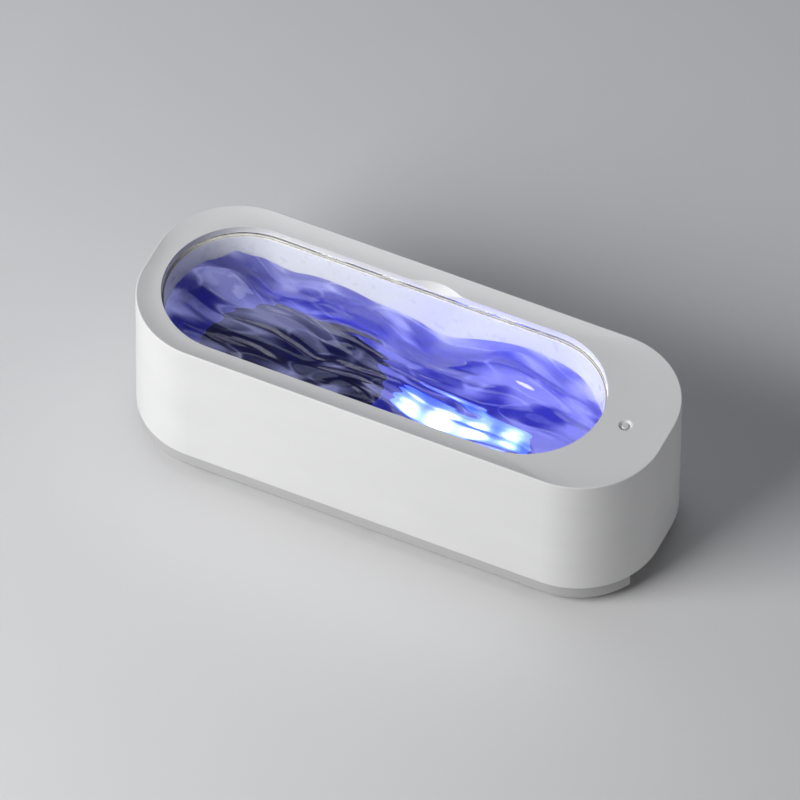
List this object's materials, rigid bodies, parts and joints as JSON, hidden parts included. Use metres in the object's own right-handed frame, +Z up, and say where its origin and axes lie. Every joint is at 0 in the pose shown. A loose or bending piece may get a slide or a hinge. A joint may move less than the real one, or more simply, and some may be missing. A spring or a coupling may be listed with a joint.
{
  "type": "ultrasonic cleaner",
  "caption": "Long white ultrasonic cleaner with rounded ends, an open oval tank lit from its floor, a clear lift-off lid, a small push button and a low inset base.",
  "frame": {"origin": "centre of the footprint, on the table under the feet", "axes": "+X along the tub towards the push button, +Y to the back where the thumb notch is, +Z up"},
  "size_m": [0.205, 0.076, 0.066],
  "materials": {
    "housing_shell": "fine satin moulded plastic",
    "base_shell": "fine satin moulded plastic",
    "tank_shell": "smooth satin moulded plastic",
    "lid_clear": "clear polished plastic",
    "seal_grey": "soft silicone",
    "seal_dark": "soft foam strip",
    "seal_clear": "soft silicone",
    "foot_rubber": "matte rubber",
    "button_cap": "gloss",
    "plate_steel": "satin stainless steel",
    "screw_steel": "zinc plated",
    "window_clear": "clear polished plastic",
    "led_lens": "blue light source",
    "board_green": "solder mask",
    "glue_grey": "cured epoxy",
    "piezo_ceramic": "silvered ceramic",
    "solder": "solder",
    "ferrite_core": "ferrite",
    "copper_winding": "enamelled copper",
    "part_black": "moulded component",
    "can_sleeve": "sleeved can",
    "film_block": "epoxy block",
    "sink_aluminium": "extruded",
    "header_cream": "moulded connector",
    "port_metal": "nickel plated",
    "wire_red": "insulated wire",
    "wire_black": "insulated wire",
    "wire_white": "insulated wire",
    "wire_blue": "insulated wire"
  },
  "bodies": {
    "root": {"base_cover": "base_shell", "base_gasket": "seal_dark", "base_screws": "screw_steel", "board_screws": "screw_steel", "bulk_capacitors": "can_sleeve", "button_seal": "seal_grey", "control_chip": "part_black", "driver_board": "board_green", "film_capacitor": "film_block", "floor_plate": "plate_steel", "heatsink": "sink_aluminium", "led_board": "board_green", "led_leads": "wire_blue", "led_screws": "screw_steel", "led_window": "window_clear", "leds": "led_lens", "mosfets": "part_black", "outer_housing": "housing_shell", "output_inductor": "part_black", "piezo_adhesive": "glue_grey", "piezo_disc": "piezo_ceramic", "plate_seal": "seal_clear", "port_tongue": "part_black", "power_board": "board_green", "power_leads": "wire_black", "rubber_feet": "foot_rubber", "solder_tabs": "solder", "switch_board": "board_green", "switch_leads": "wire_white", "switch_screws": "screw_steel", "tact_switch": "part_black", "tank": "tank_shell", "tank_gasket": "seal_grey", "tank_screws": "screw_steel", "transducer_leads": "wire_red", "transformer_core": "ferrite_core", "transformer_winding": "copper_winding", "usb_port": "port_metal", "wire_headers": "header_cream"},
    "lid": {"lid": "lid_clear"},
    "button": {"power_button": "button_cap", "switch_plunger": "part_black"}
  },
  "joints": [
    {"name": "lid_lift", "type": "slide", "parent": "root", "child": "lid", "axis": [0, 0, 1], "range_m": [0, 0.08]},
    {"name": "button_press", "type": "slide", "parent": "root", "child": "button", "axis": [0, 0, -1], "range_m": [0, 0.0005], "stiffness_N_per_m": 1500}
  ]
}
